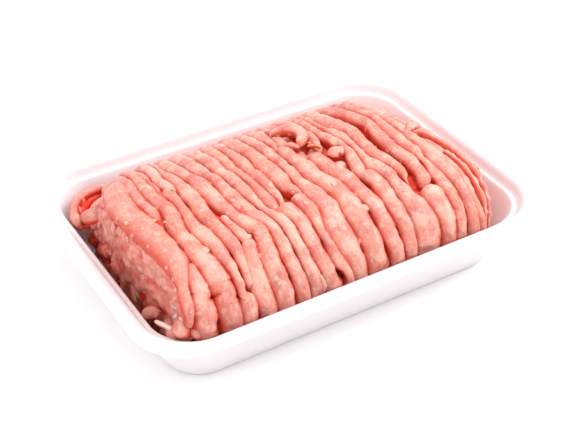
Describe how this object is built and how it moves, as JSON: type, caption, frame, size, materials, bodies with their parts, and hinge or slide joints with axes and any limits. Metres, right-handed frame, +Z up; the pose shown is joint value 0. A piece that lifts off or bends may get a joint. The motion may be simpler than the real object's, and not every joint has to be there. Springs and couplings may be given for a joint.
{
  "type": "meat tray pack",
  "caption": "Shallow rounded rectangular foam tray with a stepped rim, filled with a loaf of coarse raw mince laid in side-by-side strands.",
  "frame": {"origin": "centre of the tray's flat underside, on the surface it stands on", "axes": "+X along the tray's length towards the loaf's low end, +Y across it to the back, +Z up"},
  "size_m": [0.187, 0.137, 0.0511],
  "materials": {
    "foam": "white expanded polystyrene sheet, satin",
    "mince": "moist raw minced meat with pale flecks of fat"
  },
  "bodies": {
    "root": {"tray": "foam", "mince_loaf": "mince", "corner_strand": "mince", "torn_lump": "mince"}
  },
  "joints": []
}
